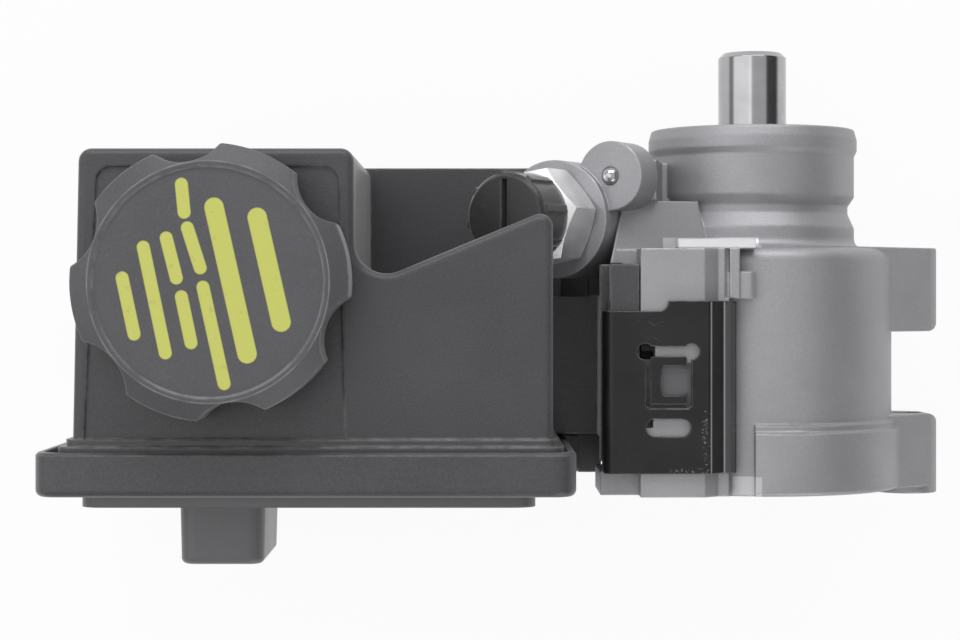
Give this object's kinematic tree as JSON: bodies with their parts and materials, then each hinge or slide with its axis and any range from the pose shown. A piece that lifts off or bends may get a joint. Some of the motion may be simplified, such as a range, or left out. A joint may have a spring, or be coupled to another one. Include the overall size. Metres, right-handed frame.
{
  "type": "power steering pump",
  "caption": "Vane-type power steering pump: cast body with shaft for a pressed pulley, mounting lugs and tilted outlet, and a clipped-on plastic fluid tank with a lobed filler cap.",
  "frame": {"origin": "on the shaft axis at the front face of the nose, where the shaft leaves the casting", "axes": "+Y out along the shaft towards the pulley, +Z towards the filler cap, +X from the tank to the mounting lugs"},
  "size_m": [0.2156, 0.1251, 0.125],
  "materials": {
    "cast_housing": "sand-grey die-cast aluminium with a fine dull grain",
    "ground_steel": "ground and polished steel",
    "bearing_steel": "ground bearing steel",
    "spring_steel": "black phosphated spring steel",
    "seal_rubber": "black nitrile rubber",
    "bushing_bronze": "sintered bronze",
    "pump_steel": "sintered and lapped steel",
    "pressed_cover": "zinc plated pressed steel",
    "plated_fitting": "zinc plated turned steel",
    "plug_plastic": "soft black polyethylene with a slight gloss",
    "tank_plastic": "fine-grained black nylon",
    "cap_plastic": "scuffed black nylon with yellow marks",
    "clip_steel": "black coated spring steel"
  },
  "bodies": {
    "pump": {"pump_housing": "cast_housing", "bearing_outer_race": "bearing_steel", "bearing_retaining_ring": "spring_steel", "shaft_seal": "seal_rubber", "shaft_bushing": "bushing_bronze", "thrust_plate": "pump_steel", "cam_ring": "pump_steel", "pressure_plate": "pump_steel", "pressure_plate_seal": "seal_rubber", "dowel_pins": "pump_steel", "pressure_plate_spring": "spring_steel", "end_cover": "pressed_cover", "end_cover_seal": "seal_rubber", "end_cover_ring": "spring_steel", "flow_control_spring": "spring_steel", "outlet_fitting": "plated_fitting", "transit_plug": "plug_plastic", "ball_plug": "bearing_steel", "inlet_seal": "seal_rubber", "reservoir_front_shell": "tank_plastic", "reservoir_rear_cover": "tank_plastic", "upper_clip": "clip_steel", "lower_clip": "clip_steel"},
    "rotating_group": {"drive_shaft": "ground_steel", "bearing_inner_race": "bearing_steel", "rotor": "pump_steel", "vanes": "pump_steel", "rotor_retaining_ring": "spring_steel"},
    "ball_set": {"bearing_ball_cage": "bearing_steel"},
    "cap_seal": {"cap_gasket": "seal_rubber"},
    "cap": {"filler_cap": "cap_plastic"},
    "spool": {"flow_control_spool": "pump_steel"}
  },
  "joints": [
    {"name": "shaft_spin", "type": "hinge", "parent": "pump", "child": "rotating_group", "pos_m": [0, 0, 0], "axis": [0, 1, 0], "continuous": true},
    {"name": "ball_set_spin", "type": "hinge", "parent": "pump", "child": "ball_set", "pos_m": [0, -0.0086, 0], "axis": [0, 1, 0], "continuous": true},
    {"name": "cap_lift", "type": "slide", "parent": "pump", "child": "cap_seal", "axis": [0, 0, 1], "range_m": [0, 0.06]},
    {"name": "cap_turn", "type": "hinge", "parent": "cap_seal", "child": "cap", "pos_m": [-0.1277, -0.0385, 0], "axis": [0, 0, 1], "range_deg": [0, 360]},
    {"name": "spool_slide", "type": "slide", "parent": "pump", "child": "spool", "axis": [0.5, 0, -0.866], "range_m": [0, 0.006], "stiffness_N_per_m": 2000, "springref_m": -0.003, "deforming": ["flow_control_spring"]}
  ],
  "couplings": [
    {"joint": "ball_set_spin", "follows": "shaft_spin", "ratio": 0.39}
  ]
}
